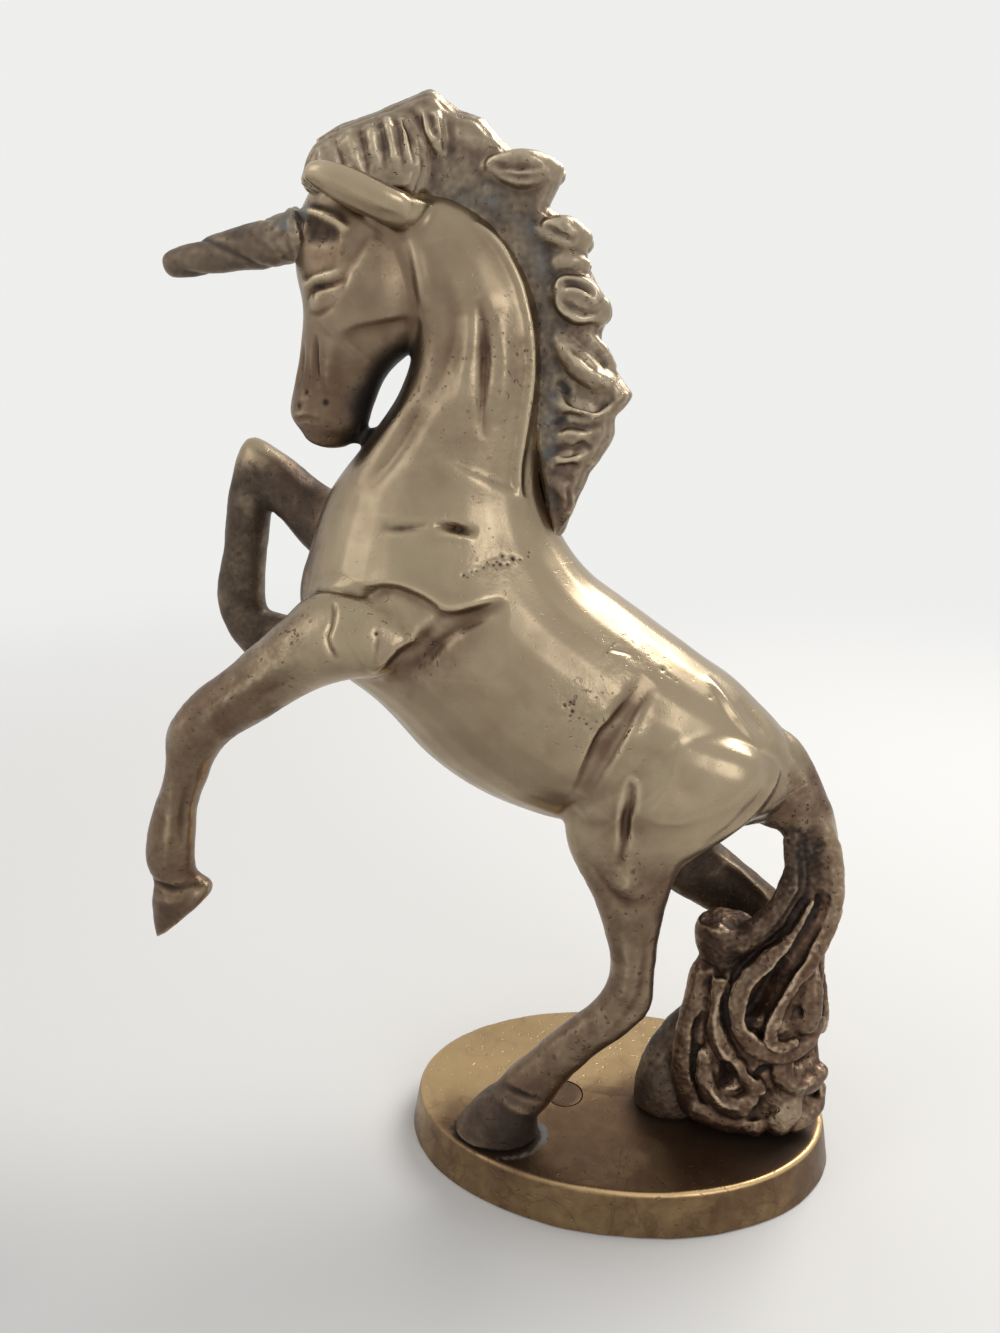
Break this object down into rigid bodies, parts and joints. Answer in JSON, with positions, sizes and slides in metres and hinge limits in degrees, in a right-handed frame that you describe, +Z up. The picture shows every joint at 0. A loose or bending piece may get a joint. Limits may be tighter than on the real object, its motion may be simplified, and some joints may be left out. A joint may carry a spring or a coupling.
{
  "type": "unicorn figurine",
  "caption": "Rearing unicorn statuette in aged cast brass, standing on its hind hooves and tail on a low oval base plate.",
  "frame": {"origin": "on the surface it stands on, under the middle of the whole figure's outline", "axes": "+Z up, -X the way the unicorn faces, along the base plate's long axis, -Y the near side that the picture shows"},
  "size_m": [0.197, 0.084, 0.2896],
  "materials": {
    "body_brass": "hand polished, satin, with brown patina in the creases",
    "leg_brass": "dull brown patina, worn bright on the ridges",
    "hair_brass": "dark patina in the grooves, rubbed bright on the locks",
    "base_brass": "blotchy golden tarnish with a bright worn edge",
    "plug_brass": "filed flush and tarnished",
    "screw_steel": "plain zinc"
  },
  "bodies": {
    "root": {"base_plate": "base_brass", "base_plug": "plug_brass", "hoof_screw": "screw_steel", "hoof_washer": "screw_steel", "tail_screw": "screw_steel", "tail_washer": "screw_steel", "torso": "body_brass", "hindquarters": "body_brass", "head_and_neck": "body_brass", "horn": "leg_brass", "mane": "hair_brass", "tail": "hair_brass", "near_foreleg": "leg_brass", "far_foreleg": "leg_brass", "near_hind_leg": "leg_brass", "far_hind_leg": "leg_brass"}
  },
  "joints": []
}
